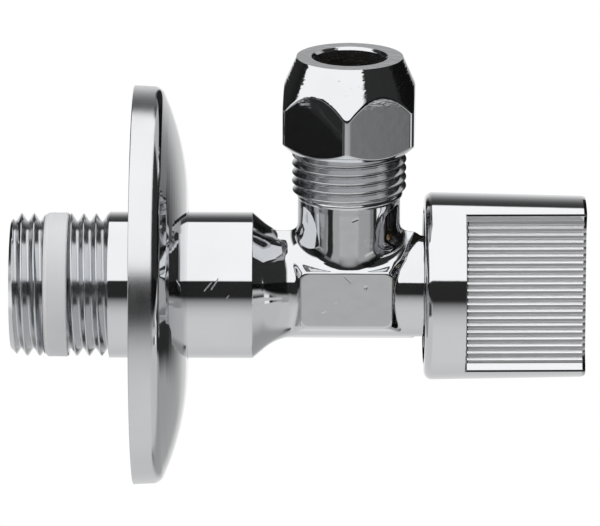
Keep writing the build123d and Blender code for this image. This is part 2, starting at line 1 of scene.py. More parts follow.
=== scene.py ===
from math import atan2, cos, pi, radians, sin, sqrt, tan

import bpy
import numpy as np
from mathutils import Matrix, Vector


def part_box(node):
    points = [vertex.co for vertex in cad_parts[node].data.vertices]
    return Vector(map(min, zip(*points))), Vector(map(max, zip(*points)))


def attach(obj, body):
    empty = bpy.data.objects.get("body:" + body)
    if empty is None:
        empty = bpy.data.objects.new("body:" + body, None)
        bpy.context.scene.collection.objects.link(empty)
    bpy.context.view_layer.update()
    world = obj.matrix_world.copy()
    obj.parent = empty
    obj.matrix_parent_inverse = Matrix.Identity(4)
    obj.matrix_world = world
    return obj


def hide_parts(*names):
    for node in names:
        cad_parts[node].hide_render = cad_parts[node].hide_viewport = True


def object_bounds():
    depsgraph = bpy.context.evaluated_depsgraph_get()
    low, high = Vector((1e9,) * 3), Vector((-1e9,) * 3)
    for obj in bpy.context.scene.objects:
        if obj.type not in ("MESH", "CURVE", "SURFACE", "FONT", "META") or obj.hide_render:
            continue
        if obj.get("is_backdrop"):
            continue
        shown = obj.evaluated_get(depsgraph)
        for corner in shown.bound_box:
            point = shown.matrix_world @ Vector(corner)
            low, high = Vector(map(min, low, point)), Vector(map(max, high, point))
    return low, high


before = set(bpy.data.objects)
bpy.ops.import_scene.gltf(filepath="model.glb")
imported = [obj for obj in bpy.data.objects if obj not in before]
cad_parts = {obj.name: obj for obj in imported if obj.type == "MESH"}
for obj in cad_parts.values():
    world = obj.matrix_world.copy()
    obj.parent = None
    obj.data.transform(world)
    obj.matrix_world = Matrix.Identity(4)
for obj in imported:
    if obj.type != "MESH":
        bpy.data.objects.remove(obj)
cad_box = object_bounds()
mm = 0.001

# Valve body. One brass forging: the inlet, shank, barrel and outlet are turned, the crossing with its
# two wrench flats stays as it was forged, and the whole is polished and chrome plated.
body_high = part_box("valve_body")[1]
ring_low, ring_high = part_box("thread_seal_ring")
nut_low, nut_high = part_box("compression_nut")
outlet_x = (nut_low.x + nut_high.x) / 2
inlet_crest = 20.955 / 2 * mm
inlet_root = 18.631 / 2 * mm
inlet_pitch = 25.4 / 14 * mm
inlet_turn = 0.11
inlet_bevel = 1.1 * mm
inlet_thread_end = 14.3 * mm
inlet_bore = 6.0 * mm
inlet_bore_end = 38.8 * mm
shank_radius = 10.7 * mm
shank_end = 35.3 * mm
cone_end = 39.1 * mm
barrel_radius = 7.45 * mm
cone_run = cone_end - shank_end
cone_drop = shank_radius - barrel_radius
barrel_end = 61.4 * mm
chamber_radius = 5.5 * mm
neck_radius = 7.47 * mm
neck_top = 13.6 * mm
outlet_crest = 16.662 / 2 * mm
outlet_root = 14.95 / 2 * mm
outlet_pitch = 25.4 / 19 * mm
outlet_run_out = 1.25 * mm
outlet_end_bevel = 0.9 * mm
outlet_floor = 3.5 * mm
olive_mouth = 6.6 * mm
groove_start = ring_low.x - 0.05 * mm
groove_end = ring_high.x + 0.05 * mm
groove_floor = inlet_crest - 1.2 * mm
block_middle = outlet_x - 0.35 * mm
block_half_width = 6.7 * mm
block_half_height = 4.22 * mm
block_centre = 0.11 * mm
block_face = 7.85 * mm
block_draft = 0.5
block_slope = 0.9
block_corner = 1.2 * mm
block_edge = 0.25 * mm
block_join = 0.32 * mm
block_join_growth = 0.5
tee_face = 7.55 * mm
tee_edge = 0.12 * mm
cone_fillet = 1.9 * mm
cone_clearance = 1.5 * mm
cone_flare = 1.2
neck_fillet = 2.6 * mm
neck_foot = 0.5 * mm
forging_reach = 10.8 * mm
forging_cell = 0.22 * mm
overlap = 0.004 * mm
touching = 1e-6
same_place = 1e-7
brass_mirror = (0.655, 0.665, 0.68)


def rounded_path(corners, closed=False, steps=5):
    """Points and normals of straight runs joined by arcs, with the outside on the left.
    A corner is its two coordinates and the radius that breaks it."""
    points, normals = [], []
    count = len(corners)
    for index, corner in enumerate(corners):
        here = np.array(corner[:2])
        before = np.array(corners[index - 1][:2])
        after = np.array(corners[(index + 1) % count][:2])
        if not closed and index == 0:
            before = here * 2 - after
        if not closed and index == count - 1:
            after = here * 2 - before
        arrive = (here - before) / np.linalg.norm(here - before)
        leave = (after - here) / np.linalg.norm(after - here)
        turn = atan2(arrive[0] * leave[1] - arrive[1] * leave[0], arrive @ leave)
        radius = corner[2] if len(corner) > 2 else 0.0
        if abs(turn) < 1e-6 or radius == 0.0:
            for way in (arrive, leave)[: 1 if abs(turn) < 1e-6 else 2]:
                points.append(here)
                normals.append((-way[1], way[0]))
            continue
        start = here - arrive * radius * tan(abs(turn) / 2)
        side = np.array((-arrive[1], arrive[0]))
        sign = 1.0 if turn > 0 else -1.0
        centre = start + side * radius * sign
        for step in range(steps + 1):
            angle = turn * step / steps
            normal = np.array(
                (side[0] * cos(angle) - side[1] * sin(angle), side[0] * sin(angle) + side[1] * cos(angle))
            )
            points.append(centre - normal * radius * sign)
            normals.append(normal)
    return np.array(points), np.array(normals)


def wrap_patch(points, normals):
    """Faces over a grid of points that closes on itself round its columns."""
    rows, columns = points.shape[:2]
    here = np.arange(rows * columns).reshape(rows, columns)
    there = np.roll(here, -1, axis=1)
    apart = np.abs(points[1:] - points[:-1]).max(axis=(1, 2)) > 1e-8
    faces = np.stack((here[:-1], there[:-1], there[1:], here[1:]), axis=-1)[apart].reshape(-1, 4)
    return points.reshape(-1, 3), normals.reshape(-1, 3), faces


def upright(axis_x):
    """Turns (along, across, aside) of the valve axis into the outlet's own, which stands at axis_x."""
    return lambda along, across, aside: (axis_x + across, aside, along)


def lying(along, across, aside):
    return along, across, aside


def turned(corners, place, segments=192, steps=5):
    """Patch that a lathe would cut: a path of (along, radius, corner radius) turned about an axis."""
    path, slopes = rounded_path(corners, steps=steps)
    angle = np.linspace(0, 2 * pi, segments, endpoint=False)
    along = np.repeat(path[:, :1], segments, axis=1)
    radius = path[:, 1:]
    points = np.stack(np.broadcast_arrays(*place(along, radius * np.cos(angle), radius * np.sin(angle))), -1)
    tilt = np.repeat(slopes[:, :1], segments, axis=1)
    out = slopes[:, 1:]
    origin = np.array(place(0.0, 0.0, 0.0))
    normals = np.stack(np.broadcast_arrays(*place(tilt, out * np.cos(angle), out * np.sin(angle))), -1)
    return wrap_patch(points, normals - origin)


def charted(radius_at, along, angle, place):
    """Patch given by its radius at each place along an axis and each angle round it."""
    small = 0.004 * mm
    radius = radius_at(along, angle)
    slope = (radius_at(along + small, angle) - radius_at(along - small, angle)) / (2 * small)
    twist = small / radius
    swirl = (radius_at(along, angle + twist) - radius_at(along, angle - twist)) / (2 * small)
    points = np.stack(np.broadcast_arrays(*place(along, radius * np.cos(angle), radius * np.sin(angle))), -1)
    out = (np.cos(angle) + swirl * np.sin(angle), np.sin(angle) - swirl * np.cos(angle))
    origin = np.array(place(0.0, 0.0, 0.0))
    normals = np.stack(np.broadcast_arrays(*place(-slope, *out)), -1) - origin
    normals /= np.linalg.norm(normals, axis=-1, keepdims=True)
    return points, normals


def whitworth(phase, crest, root):
    """Radius of a rounded V thread at a phase of its turn, which is 0 in the root and 0.5 on the crest."""
    rise = 1 - np.abs(2 * (phase % 1.0) - 1)
    rounding = 0.16
    low = np.where(rise < rounding, rounding / 2 + rise**2 / (2 * rounding), rise)
    high = np.where(rise > 1 - rounding, 1 - rounding / 2 - (1 - rise) ** 2 / (2 * rounding), low)
    return root + (crest - root) * (high - rounding / 2) / (1 - rounding)


def thread(start, end, crest, root, pitch, shape, place, turned_by=0.0, segments=180, rows_a_turn=14):
    """Right-hand thread between two planes, on a grid whose rows follow the helix."""
    angle = np.linspace(0, 2 * pi, segments + 1)
    first, last = int(start / pitch) - 3, int(end / pitch) + 2
    row = np.arange(first * rows_a_turn, last * rows_a_turn)[:, None] / rows_a_turn
    along = np.clip((row + turned_by + angle / (2 * pi)) * pitch, start, end)

    def radius_at(along, angle):
        phase = along / pitch - angle / (2 * pi) - turned_by
        return shape(along, whitworth(phase, crest, root))

    points, normals = charted(radius_at, along, np.broadcast_to(angle, along.shape), place)
    rows, columns = along.shape
    index = np.arange(rows * columns).reshape(rows, columns)
    faces = np.stack((index[:-1, :-1], index[:-1, 1:], index[1:, 1:], index[1:, :-1]), axis=-1).reshape(-1, 4)
    flat = along.reshape(-1)
    kept = np.ptp(flat[faces], axis=1) > same_place
    return points.reshape(-1, 3), normals.reshape(-1, 3), faces[kept]


def soft_min(a, b, width):
    blend = np.clip(width - np.abs(a - b), 0, None) / width
    return np.minimum(a, b) - blend**2 * width / 4


def soft_max(a, b, width):
    return -soft_min(-a, -b, width)


def crossing(x, y, z):
    """Distance from the forged crossing: barrel, outlet neck and wrench block, run into each other."""
    from_axis = np.sqrt(y**2 + z**2)
    cone = (from_axis - shank_radius) * cone_run + (x - shank_end) * cone_drop
    cone = cone / np.hypot(cone_run, cone_drop)
    barrel = soft_min(from_axis - barrel_radius, cone, cone_fillet)
    neck = soft_max(np.sqrt((x - outlet_x) ** 2 + y**2) - neck_radius, -z, neck_foot)
    tee = soft_min(barrel, neck, neck_fillet)
    beside_cone = np.clip(cone_end + cone_clearance - x, 0, None) * cone_flare
    tee = soft_max(tee, np.abs(y) - tee_face - beside_cone, tee_edge)
    drafted = np.clip(block_face - np.abs(y), 0, None) * block_draft
    side = soft_max(
        np.abs(x - block_middle) - block_half_width - drafted,
        np.abs(z - block_centre) - block_half_height - drafted,
        block_corner,
    )
    block = soft_max(side * block_slope, np.abs(y) - block_face, block_edge)
    over_block = np.clip(z - block_centre - block_half_height, 0, block_corner)
    return soft_min(tee, block, block_join + over_block * block_join_growth)


def grown(distance, low, high, cell):
    """Patch on the zero surface of a distance function: one point a cell, pulled onto the surface."""
    axes = [np.arange(start, stop + cell / 2, cell) for start, stop in zip(low, high)]
    grid = np.meshgrid(*axes, indexing="ij")
    inside = distance(*grid) < 0
    size = np.array(inside.shape) - 1
    filled = sum(
        inside[i : i + size[0], j : j + size[1], k : k + size[2]].astype(int)
        for i in (0, 1)
        for j in (0, 1)
        for k in (0, 1)
    )
    crossed = (filled > 0) & (filled < 8)
    number = np.full(crossed.shape, -1)
    number[crossed] = np.arange(crossed.sum())
    cells = np.argwhere(crossed)
    points = np.array(low) + (cells + 0.5) * cell
    small = 0.005 * mm
    pulls = 6
    for _ in range(pulls):
        value = distance(*points.T)
        steps = np.eye(3) * small
        slope = np.stack(
            [(distance(*(points + s).T) - distance(*(points - s).T)) / (2 * small) for s in steps], -1
        )
        length = np.linalg.norm(slope, axis=1, keepdims=True)
        points = points - (value[:, None] / length) * slope / length
    normals = slope / length
    faces = []
    for axis in range(3):
        aside, beyond = (axis + 1) % 3, (axis + 2) % 3
        span = [slice(1, n) for n in size]
        span[axis] = slice(0, size[axis])
        ahead = list(span)
        ahead[axis] = slice(1, size[axis] + 1)
        first, second = inside[tuple(span)], inside[tuple(ahead)]
        for turn_over, edge in ((False, first & ~second), (True, ~first & second)):
            where = np.argwhere(edge) + np.array([0 if a == axis else 1 for a in range(3)])
            quad = []
            for back_aside, back_beyond in ((1, 1), (0, 1), (0, 0), (1, 0)):
                cell_at = where.copy()
                cell_at[:, aside] -= back_aside
                cell_at[:, beyond] -= back_beyond
                quad.append(number[tuple(cell_at.T)])
            quad = np.stack(quad, -1)
            faces.append(quad[:, ::-1] if turn_over else quad)
    faces = np.concatenate(faces)
    return points, normals, faces[(faces >= 0).all(axis=1)]


def hidden_faces(node, belongs):
    """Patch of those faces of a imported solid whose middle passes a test, such as its bores."""
    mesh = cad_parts[node].data
    points = np.zeros(len(mesh.vertices) * 3)
    mesh.vertices.foreach_get("co", points)
    points = points.reshape(-1, 3)
    mesh.calc_loop_triangles()
    faces = np.zeros(len(mesh.loop_triangles) * 3, int)
    mesh.loop_triangles.foreach_get("vertices", faces)
    faces = faces.reshape(-1, 3)
    faces = faces[belongs(points[faces].mean(axis=1))]
    corner = points[faces]
    flat = np.cross(corner[:, 1] - corner[:, 0], corner[:, 2] - corner[:, 0])
    flat /= np.maximum(np.linalg.norm(flat, axis=1, keepdims=True), 1e-12)
    return corner.reshape(-1, 3), np.repeat(flat, 3, axis=0), np.arange(len(faces) * 3).reshape(-1, 3)


def piece(name, patches, body, *nodes):
    """One object from patches of points, normals and faces, shaded with those exact normals."""
    points, normals, faces = [], [], []
    count = 0
    for patch_points, patch_normals, patch_faces in patches:
        points.append(patch_points)
        normals.append(patch_normals)
        faces.extend((patch_faces + count).tolist())
        count += len(patch_points)
    mesh = bpy.data.meshes.new(name)
    mesh.from_pydata(np.concatenate(points).tolist(), [], faces)
    mesh.polygons.foreach_set("use_smooth", [True] * len(mesh.polygons))
    mesh.normals_split_custom_set_from_vertices(np.concatenate(normals).tolist())
    made = bpy.data.objects.new(name, mesh)
    bpy.context.scene.collection.objects.link(made)
    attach(made, body)
    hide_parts(*nodes)
    return made


class Shade:
    """A socket of a material or world, wrapped so that shader maths reads as plain arithmetic."""

    def __init__(self, tree, socket):
        self.tree = tree
        self.socket = socket

    def node(self, kind, settings, inputs, output=0):
        """Any other node: its type, its settings, then the values or links of its sockets."""
        made = self.tree.nodes.new(kind)
        for name, setting in settings.items():
            if name == "stops":
                stops = made.color_ramp.elements
                stops.remove(stops[1])
                for position, shade in setting:
                    stop = stops.new(position) if position > 0 else stops[0]
                    stop.color = (shade, shade, shade, 1) if isinstance(shade, float) else (*shade, 1)
            else:
                setattr(made, name, setting)
        for name, value in inputs.items():
            if isinstance(value, Shade):
                self.tree.links.new(value.socket, made.inputs[name])
            else:
                made.inputs[name].default_value = value
        return Shade(self.tree, made.outputs[output])

    def maths(self, operation, first, second=0.0):
        return self.node("ShaderNodeMath", {"operation": operation}, {0: first, 1: second})

    def __add__(self, other):
        return self.maths("ADD", self, other)

    __radd__ = __add__

    def __sub__(self, other):
        return self.maths("SUBTRACT", self, other)

    def __rsub__(self, other):
        return self.maths("SUBTRACT", other, self)

    def __mul__(self, other):
        return self.maths("MULTIPLY", self, other)

    __rmul__ = __mul__

    def __truediv__(self, other):
        return self.maths("DIVIDE", self, other)

    def between(self, low, high):
        """0 below low, 1 above high, and a smooth step from one to the other."""
        return self.node(
            "ShaderNodeMapRange",
            {"interpolation_type": "SMOOTHSTEP"},
            {"Value": self, "From Min": low, "From Max": high},
        )

    def parts(self):
        return [self.node("ShaderNodeSeparateXYZ", {}, {0: self}, axis) for axis in range(3)]


class Material:
    """A Principled material and the place on its piece, in metres, that its detail is worked out from."""

    def __init__(self, name, **constants):
        self.data = bpy.data.materials.new(name)
        self.data.use_nodes = True
        self.tree = self.data.node_tree
        self.shader = self.tree.nodes["Principled BSDF"]
        for socket, value in constants.items():
            self.shader.inputs[socket.replace("_", " ")].default_value = value
        self.place = Shade(self.tree, None).node("ShaderNodeTexCoord", {}, {}, "Object")

    def noise(self, size, detail=2.0, roughness=0.5, stretch=(1, 1, 1)):
        """Noise with features about one size across, centred on 0.5."""
        at = self.place.node("ShaderNodeMapping", {}, {"Vector": self.place, "Scale": stretch})
        inputs = {"Vector": at, "Scale": 1 / size, "Detail": detail, "Roughness": roughness}
        return self.place.node("ShaderNodeTexNoise", {}, inputs)

    def blend(self, share, first, second):
        """Colour that runs from the first to the second as the share runs from 0 to 1."""
        return self.place.node(
            "ShaderNodeMix", {"data_type": "RGBA"}, {0: share, 6: (*first, 1), 7: (*second, 1)}, 2
        )

    def mark(self, start, end, width):
        """1 along a scratch drawn between two (x, z) places on the near side, and 0 off it."""
        x, y, z = self.place.parts()
        length = sqrt((end[0] - start[0]) ** 2 + (end[1] - start[1]) ** 2)
        run, rise = (end[0] - start[0]) / length, (end[1] - start[1]) / length
        along = (x - (start[0] + end[0]) / 2) * run + (z - (start[1] + end[1]) / 2) * rise
        aside = (z - start[1]) * run - (x - start[0]) * rise
        within = 1 - self.place.maths("ABSOLUTE", along).between(length * 0.3, length * 0.5)
        beside = 1 - self.place.maths("ABSOLUTE", aside).between(0.0, width)
        return within * beside * (1 - y.between(-3 * mm, -2 * mm))

    def feed(self, socket, value):
        self.tree.links.new(value.socket, self.shader.inputs[socket])

    def raise_by(self, height, depth):
        """Relief of a depth in metres, where the height runs from 0 to 1."""
        bump = self.place.node("ShaderNodeBump", {}, {"Height": height, "Distance": depth, "Strength": 1.0})
        self.feed("Normal", bump)

    def give(self, *objects):
        for made in objects:
            made.data.materials.clear()
            made.data.materials.append(self.data)


def chrome(name, tint, haze=0.035):
    """Bright chrome plate over polished metal: a mirror with faint smears."""
    plate = Material(name, Metallic=0.97, IOR=2.5)
    smear = plate.noise(6 * mm, 3.0)
    plate.feed("Roughness", haze * 0.6 + smear * haze * 0.8)
    duller = [channel * 0.965 for channel in tint]
    plate.feed("Base Color", plate.blend(plate.noise(9 * mm).between(0.3, 0.7), tint, duller))
    return plate


def uneven(name, first, second, blotches, rough, relief, **constants):
    """Plain material with blotches between two colours, an uneven polish and fine relief.
    Each of the three gives its own noise; before it, rough has a base and a spread, and relief a depth."""
    made = Material(name, **constants)
    made.feed("Base Color", made.blend(made.noise(*blotches), first, second))
    base, spread, *smears = rough
    made.feed("Roughness", base + made.noise(*smears) * spread)
    depth, *grain = relief
    made.raise_by(made.noise(*grain), depth)
    return made


def inlet_shape(along, radius):
    return np.minimum(radius, inlet_crest - inlet_bevel + along)


def plain(along, radius):
    return radius


def outlet_shape(along, radius):
    return outlet_root + (radius - outlet_root) * np.clip((along - neck_top) / outlet_run_out, 0, 1)


inlet_face_edge = inlet_crest - inlet_bevel
outlet_top = body_high.z
body_patches = [
    turned(
        [
            (inlet_bore_end, inlet_bore),
            (0.0, inlet_bore, 0.4 * mm),
            (0.0, inlet_face_edge),
        ],
        lying,
    ),
    thread(0.0, groove_start, inlet_crest, inlet_root, inlet_pitch, inlet_shape, lying, inlet_turn),
    turned(
        [
            (groove_start, inlet_crest - 0.3 * mm),
            (groove_start, groove_floor, 0.05 * mm),
            (groove_end, groove_floor, 0.05 * mm),
            (groove_end, inlet_crest - 0.3 * mm),
        ],
        lying,
    ),
    thread(groove_end, inlet_thread_end, inlet_crest, inlet_root, inlet_pitch, plain, lying, inlet_turn),
    turned(
        [
            (inlet_thread_end, inlet_root),
            (inlet_thread_end, shank_radius, 0.15 * mm),
            (shank_end, shank_radius, 0.25 * mm),
            (shank_end + cone_run * 0.3, shank_radius - cone_drop * 0.3 - overlap),
        ],
        lying,
        steps=9,
    ),
    grown(
        crossing,
        (shank_end + cone_run * 0.12, -forging_reach, -forging_reach),
        (barrel_end - 0.3 * mm, forging_reach, neck_top - 0.5 * mm),
        forging_cell,
    ),
    turned(
        [
            (barrel_end - 1.2 * mm, barrel_radius - overlap),
            (barrel_end, barrel_radius, 0.2 * mm),
            (barrel_end, chamber_radius),
        ],
        lying,
    ),
    turned(
        [(neck_top - 1.3 * mm, neck_radius - overlap), (neck_top + 0.02 * mm, outlet_root)],
        upright(outlet_x),
    ),
    thread(
        neck_top,
        outlet_top - outlet_end_bevel,
        outlet_crest,
        outlet_root,
        outlet_pitch,
        outlet_shape,
        upright(outlet_x),
    ),
    turned(
        [
            (outlet_top - outlet_end_bevel, outlet_root),
            (outlet_top, outlet_root, 0.2 * mm),
            (outlet_top, olive_mouth),
        ],
        upright(outlet_x),
    ),
]


def in_the_bores(middle):
    """Waterway faces: nearer to either axis than any outer face is, and off the planes of the ends."""
    x, y, z = middle.T
    in_outlet = (np.hypot(x - outlet_x, y) < olive_mouth + 0.02 * mm) & (z > outlet_floor)
    in_barrel = np.hypot(y, z) < inlet_bore + 0.05 * mm
    on_end = (x < touching) | (x > barrel_end - touching) | (z > outlet_top - touching)
    return (in_barrel | in_outlet) & ~on_end & (x > inlet_bore_end)


body_patches.append(hidden_faces("valve_body", in_the_bores))
body = piece("valve_body_finish", body_patches, "body", "valve_body")

# The forged crossing is polished by hand, so its reflections wander; the turned parts keep fine tool lines.
body_chrome = chrome("polished_forging", brass_mirror)
x, _, z = body_chrome.place.parts()
on_forging = x.between(cone_end - 1 * mm, cone_end + 1.5 * mm) * (1 - z.between(neck_top - mm, neck_top))
swell = body_chrome.noise(3.4 * mm, 1.5) * 0.9 + body_chrome.noise(0.9 * mm, 1.0) * 0.06
# Knocks and scratches: on the wrench flat, the neck and the shank
scratches = [
    ((51.5, 1.95), (52.0, 2.25), 0.3),
    ((51.7, 1.75), (51.8, 1.95), 0.22),
    ((48.5, 3.9), (49.7, 2.7), 0.09),
    ((46.9, -0.7), (47.9, 0.2), 0.08),
    ((45.2, -1.9), (46.2, -1.4), 0.06),
    ((49.6, 11.9), (50.7, 12.35), 0.22),
    ((28.3, 2.2), (29.5, 3.6), 0.09),
    ((29.3, 2.4), (30.5, 4.1), 0.09),
    ((31.6, 1.2), (32.0, 1.7), 0.07),
]
scratched = 0.0
for start, end, width in scratches:
    ends = [(along * mm, up * mm) for along, up in (start, end)]
    scratched = body_chrome.mark(*ends, width * mm) + scratched
body_chrome.raise_by(swell * on_forging + body_chrome.noise(6 * mm, 1.0) * 0.12 - scratched * 0.9, 0.035 * mm)
past_inlet = x.between(inlet_thread_end - 0.1 * mm, inlet_thread_end)
on_thread = 1 - past_inlet * (1 - z.between(neck_top, neck_top + 0.3 * mm))
drawn = body_chrome.noise(0.5 * mm, 3.0, stretch=(1, 0.3, 0.3))
smeared = body_chrome.noise(6 * mm, 3.0) * 0.02
body_chrome.feed("Roughness", 0.025 + smeared + on_thread * (0.05 + drawn * 0.12))
body_chrome.give(body)

# Sealing ring of the inlet thread. Moulded white plastic, snapped into a groove that interrupts the
# thread, and flush with its crests; it is matte and a little uneven.
ring_outer = (ring_high.y - ring_low.y) / 2
ring_shoulder = 0.5 * mm
ring_edge = 0.2 * mm
seal_ring = piece(
    "thread_seal_ring_finish",
    [
        turned(
            [
                (ring_low.x, groove_floor),
                (ring_low.x, ring_outer - ring_shoulder, 0.1 * mm),
                (ring_low.x + ring_shoulder, ring_outer, 0.35 * mm),
                (ring_high.x - ring_edge, ring_outer, 0.15 * mm),
                (ring_high.x, ring_outer - ring_edge, 0.1 * mm),
                (ring_high.x, groove_floor),
            ],
            lying,
        )
    ],
    "body",
    "thread_seal_ring",
)
white_plastic = uneven(
    "white_plastic",
    (0.85, 0.855, 0.87),
    (0.90, 0.905, 0.915),
    blotches=(3 * mm, 4.0),
    rough=(0.5, 0.2, 1.5 * mm),
    relief=(0.004 * mm, 0.25 * mm),
    Specular_IOR_Level=0.35,
)
white_plastic.give(seal_ring)

# Wall rosette. A dome with a straight rim, pressed from one brass sheet with a hole for the shank, then
# polished and chromed. It slides along the shank until its rim meets the wall.
rosette_low, rosette_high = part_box("wall_rosette")
rosette_back = rosette_low.x
rosette_front = rosette_high.x
rosette_rim = (rosette_high.y - rosette_low.y) / 2
rosette_hole = 10.9 * mm
rosette_sheet = 0.9 * mm
rosette_lip = 0.4 * mm
dome_radius = 41.5 * mm
dome_smoothing = 8 * mm
dome_flat = 11.5 * mm
dome_points = 14


def dome_x(radius):
    return rosette_front - dome_radius + sqrt(dome_radius**2 - (radius - dome_flat) ** 2)


rim_lean = tan(radians(3.0))
rim_front = rosette_rim - (dome_x(rosette_rim) - rosette_back) * rim_lean
dome_radii = np.linspace(rim_front - 3.0 * mm, dome_flat, dome_points)
outer_path = [(rosette_back + 0.05 * mm, rosette_rim - rosette_lip, 0.1 * mm)]
outer_path += [(rosette_back, rosette_rim, 0.15 * mm), (dome_x(rim_front), rim_front, 1.7 * mm)]
outer_path += [(dome_x(radius), radius, dome_smoothing) for radius in dome_radii]
outer_path += [(rosette_front, rosette_hole, 0.12 * mm), (rosette_front - rosette_sheet, rosette_hole)]
inner_path = [(rosette_front - rosette_sheet, rosette_hole, 0.1 * mm)]
inner_path += [(dome_x(radius) - rosette_sheet, radius, dome_smoothing) for radius in dome_radii[::-1]]
inner_path += [(dome_x(rim_front) - rosette_sheet, rim_front - rosette_sheet, 0.8 * mm)]
inner_path += [(rosette_back, rosette_rim - rosette_sheet, 0.1 * mm)]
inner_path += [(rosette_back, rosette_rim - rosette_lip)]
rosette = piece(
    "wall_rosette_finish",
    [turned(outer_path, lying, 256), turned(inner_path, lying, 256)],
    "rosette",
    "wall_rosette",
)
# The rim is brushed, the dome polished
rosette_chrome = chrome("pressed_sheet", brass_mirror, 0.03)
on_rim = 1 - rosette_chrome.place.parts()[0].between(rosette_back + 3.2 * mm, rosette_back + 3.9 * mm)
brushed = rosette_chrome.noise(1.2 * mm, 4.0, stretch=(1, 0.25, 0.25)) * 0.05
smudged = rosette_chrome.noise(3 * mm, 3.0) * 0.08
rosette_chrome.feed("Roughness", 0.035 + on_rim * (0.12 + smudged + brushed))
rosette_chrome.raise_by(rosette_chrome.noise(7 * mm, 1.0), 0.02 * mm)
rosette_chrome.give(rosette)

# Compression nut. Turned from hexagon bar: the corners are drawn round, the top is coned down to the
# pipe hole, and the lathe's feed shows as fine rings on the cone.
nut_bottom = nut_low.z
nut_top = nut_high.z
nut_flat = 9.5 * mm
nut_corner = radians(-90 - 2.6)
nut_round = 1.1 * mm
nut_top_radius = 7.72 * mm
nut_bottom_radius = 9.2 * mm
nut_hole = 5.15 * mm
nut_mouth = 0.4 * mm
nut_bore_mouth = 8.83 * mm
nut_edge = 0.14 * mm
nut_hole_start = nut_bottom + 9.83 * mm
nut_cone = tan(radians(24.0))
nut_bevel = tan(radians(48.0))
nut_sides = 6
sixth = 2 * pi / nut_sides


def hexagon(angle):
    """Radius of the bar's outline at an angle, with its corners rounded."""
    from_corner = (angle - nut_corner + sixth / 2) % sixth - sixth / 2
    across_flat = nut_flat / np.cos(sixth / 2 - np.abs(from_corner))
    middle = (nut_flat - nut_round) / cos(sixth / 2)
    across = np.clip(nut_round**2 - (middle * np.sin(from_corner)) ** 2, 0, None)
    rounded = middle * np.cos(from_corner) + np.sqrt(across)
    edge = atan2(nut_round * sin(sixth / 2), middle + nut_round * cos(sixth / 2))
    return np.where(np.abs(from_corner) < edge, rounded, across_flat)


def nut_radius(along, angle):
    cone = nut_top_radius + (nut_top - along) * nut_cone
    bevel = nut_bottom_radius + (along - nut_bottom) * nut_bevel
    return soft_min(soft_min(hexagon(angle), cone, nut_edge), bevel, nut_edge)


# Rows of points lie close together where the hexagon meets its bevel and its cone
around = np.linspace(0, 2 * pi, 360, endpoint=False)
edge_low = nut_bottom + (hexagon(around) - nut_bottom_radius) / nut_bevel
edge_high = nut_top - (hexagon(around) - nut_top_radius) / nut_cone
edge_spread = np.linspace(-0.25, 0.25, 9)[:, None] * mm
levels = np.concatenate(
    [
        nut_bottom + (edge_low - nut_bottom) * np.array([[0.0], [0.5]]),
        edge_low + edge_spread,
        edge_low + (edge_high - edge_low) * np.linspace(0.1, 0.9, 6)[:, None],
        edge_high + edge_spread * 1.2,
        edge_high + (nut_top - edge_high) * np.linspace(0.15, 1.0, 6)[:, None],
    ]
)
levels = np.clip(np.sort(levels, axis=0), nut_bottom, nut_top)
nut_angles = np.broadcast_to(around, levels.shape)
nut_points, nut_normals = charted(nut_radius, levels, nut_angles, upright(outlet_x))


def in_the_nut(middle):
    """Faces of the nut's threaded bore and the cone over the olive."""
    x, y, z = middle.T
    above_bottom = z > nut_bottom + touching
    return (np.hypot(x - outlet_x, y) < nut_bore_mouth) & (z < nut_hole_start + 0.3 * mm) & above_bottom


nut = piece(
    "compression_nut_finish",
    [
        wrap_patch(nut_points, nut_normals),
        turned(
            [
                (nut_top, nut_top_radius),
                (nut_top, nut_hole + nut_mouth, 0.1 * mm),
                (nut_top - nut_mouth, nut_hole, 0.1 * mm),
                (nut_hole_start, nut_hole),
            ],
            upright(outlet_x),
        ),
        turned([(nut_bottom, nut_bore_mouth), (nut_bottom, nut_bottom_radius)], upright(outlet_x)),
        hidden_faces("compression_nut", in_the_nut),
    ],
    "nut",
    "compression_nut",
)
nut_chrome = chrome("turned_bar", brass_mirror, 0.03)
z = nut_chrome.place.parts()[2]
feed_lines = nut_chrome.place.node(
    "ShaderNodeTexNoise", {"noise_dimensions": "1D"}, {"W": z / (0.28 * mm), "Scale": 1.0, "Detail": 2.0}
)
on_cone = z.between(nut_bottom + 7.0 * mm, nut_bottom + 10.5 * mm)
chatter = nut_chrome.noise(1.1 * mm, 1.0, stretch=(1, 1, 3))
ripple = feed_lines * on_cone * 0.25 + chatter * on_cone + nut_chrome.noise(1.6 * mm, 2.0) * 0.12
nut_chrome.raise_by(ripple, 0.04 * mm)
on_top = z.between(nut_top - 0.04 * mm, nut_top - 0.01 * mm)
nut_chrome.feed("Roughness", 0.03 + on_top * 0.2 + nut_chrome.noise(2 * mm) * 0.02)
nut_chrome.give(nut)

# Knob. Moulded plastic with a mirror chrome plate: a plain collar, then two grip flats between flared
# lips, cut with fine grooves that run along the valve and end in a bevel at the free end.
knob_low, knob_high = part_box("knob")
knob_start = knob_low.x
knob_end = knob_high.x
knob_start_radius = 13.75 * mm
knob_end_radius = 13.25 * mm
knob_edge = 1.25 * mm
knob_flats_start = 66.2 * mm
knob_turn = radians(-8.25)
knob_draft = (knob_start_radius - knob_end_radius) / (knob_end - knob_start)
lip_half_chord = 11.6 * mm
lip_width = 0.33 * mm
lip_depth = 0.82 * mm
lip_break = 0.05 * mm
groove_count = 20
groove_pitch = 1.016 * mm
groove_width = 0.62 * mm
groove_depth = 0.28 * mm
groove_break = 0.04 * mm
flat_run_out = 0.45 * mm
end_draw_in = 0.3
end_groove_share = 0.6
end_slope = 0.7
shoulder_fillet = 0.42 * mm
knob_wall = 2.2 * mm
hollow_reach = 11.4 * mm
hollow_half_width = 5.2 * mm
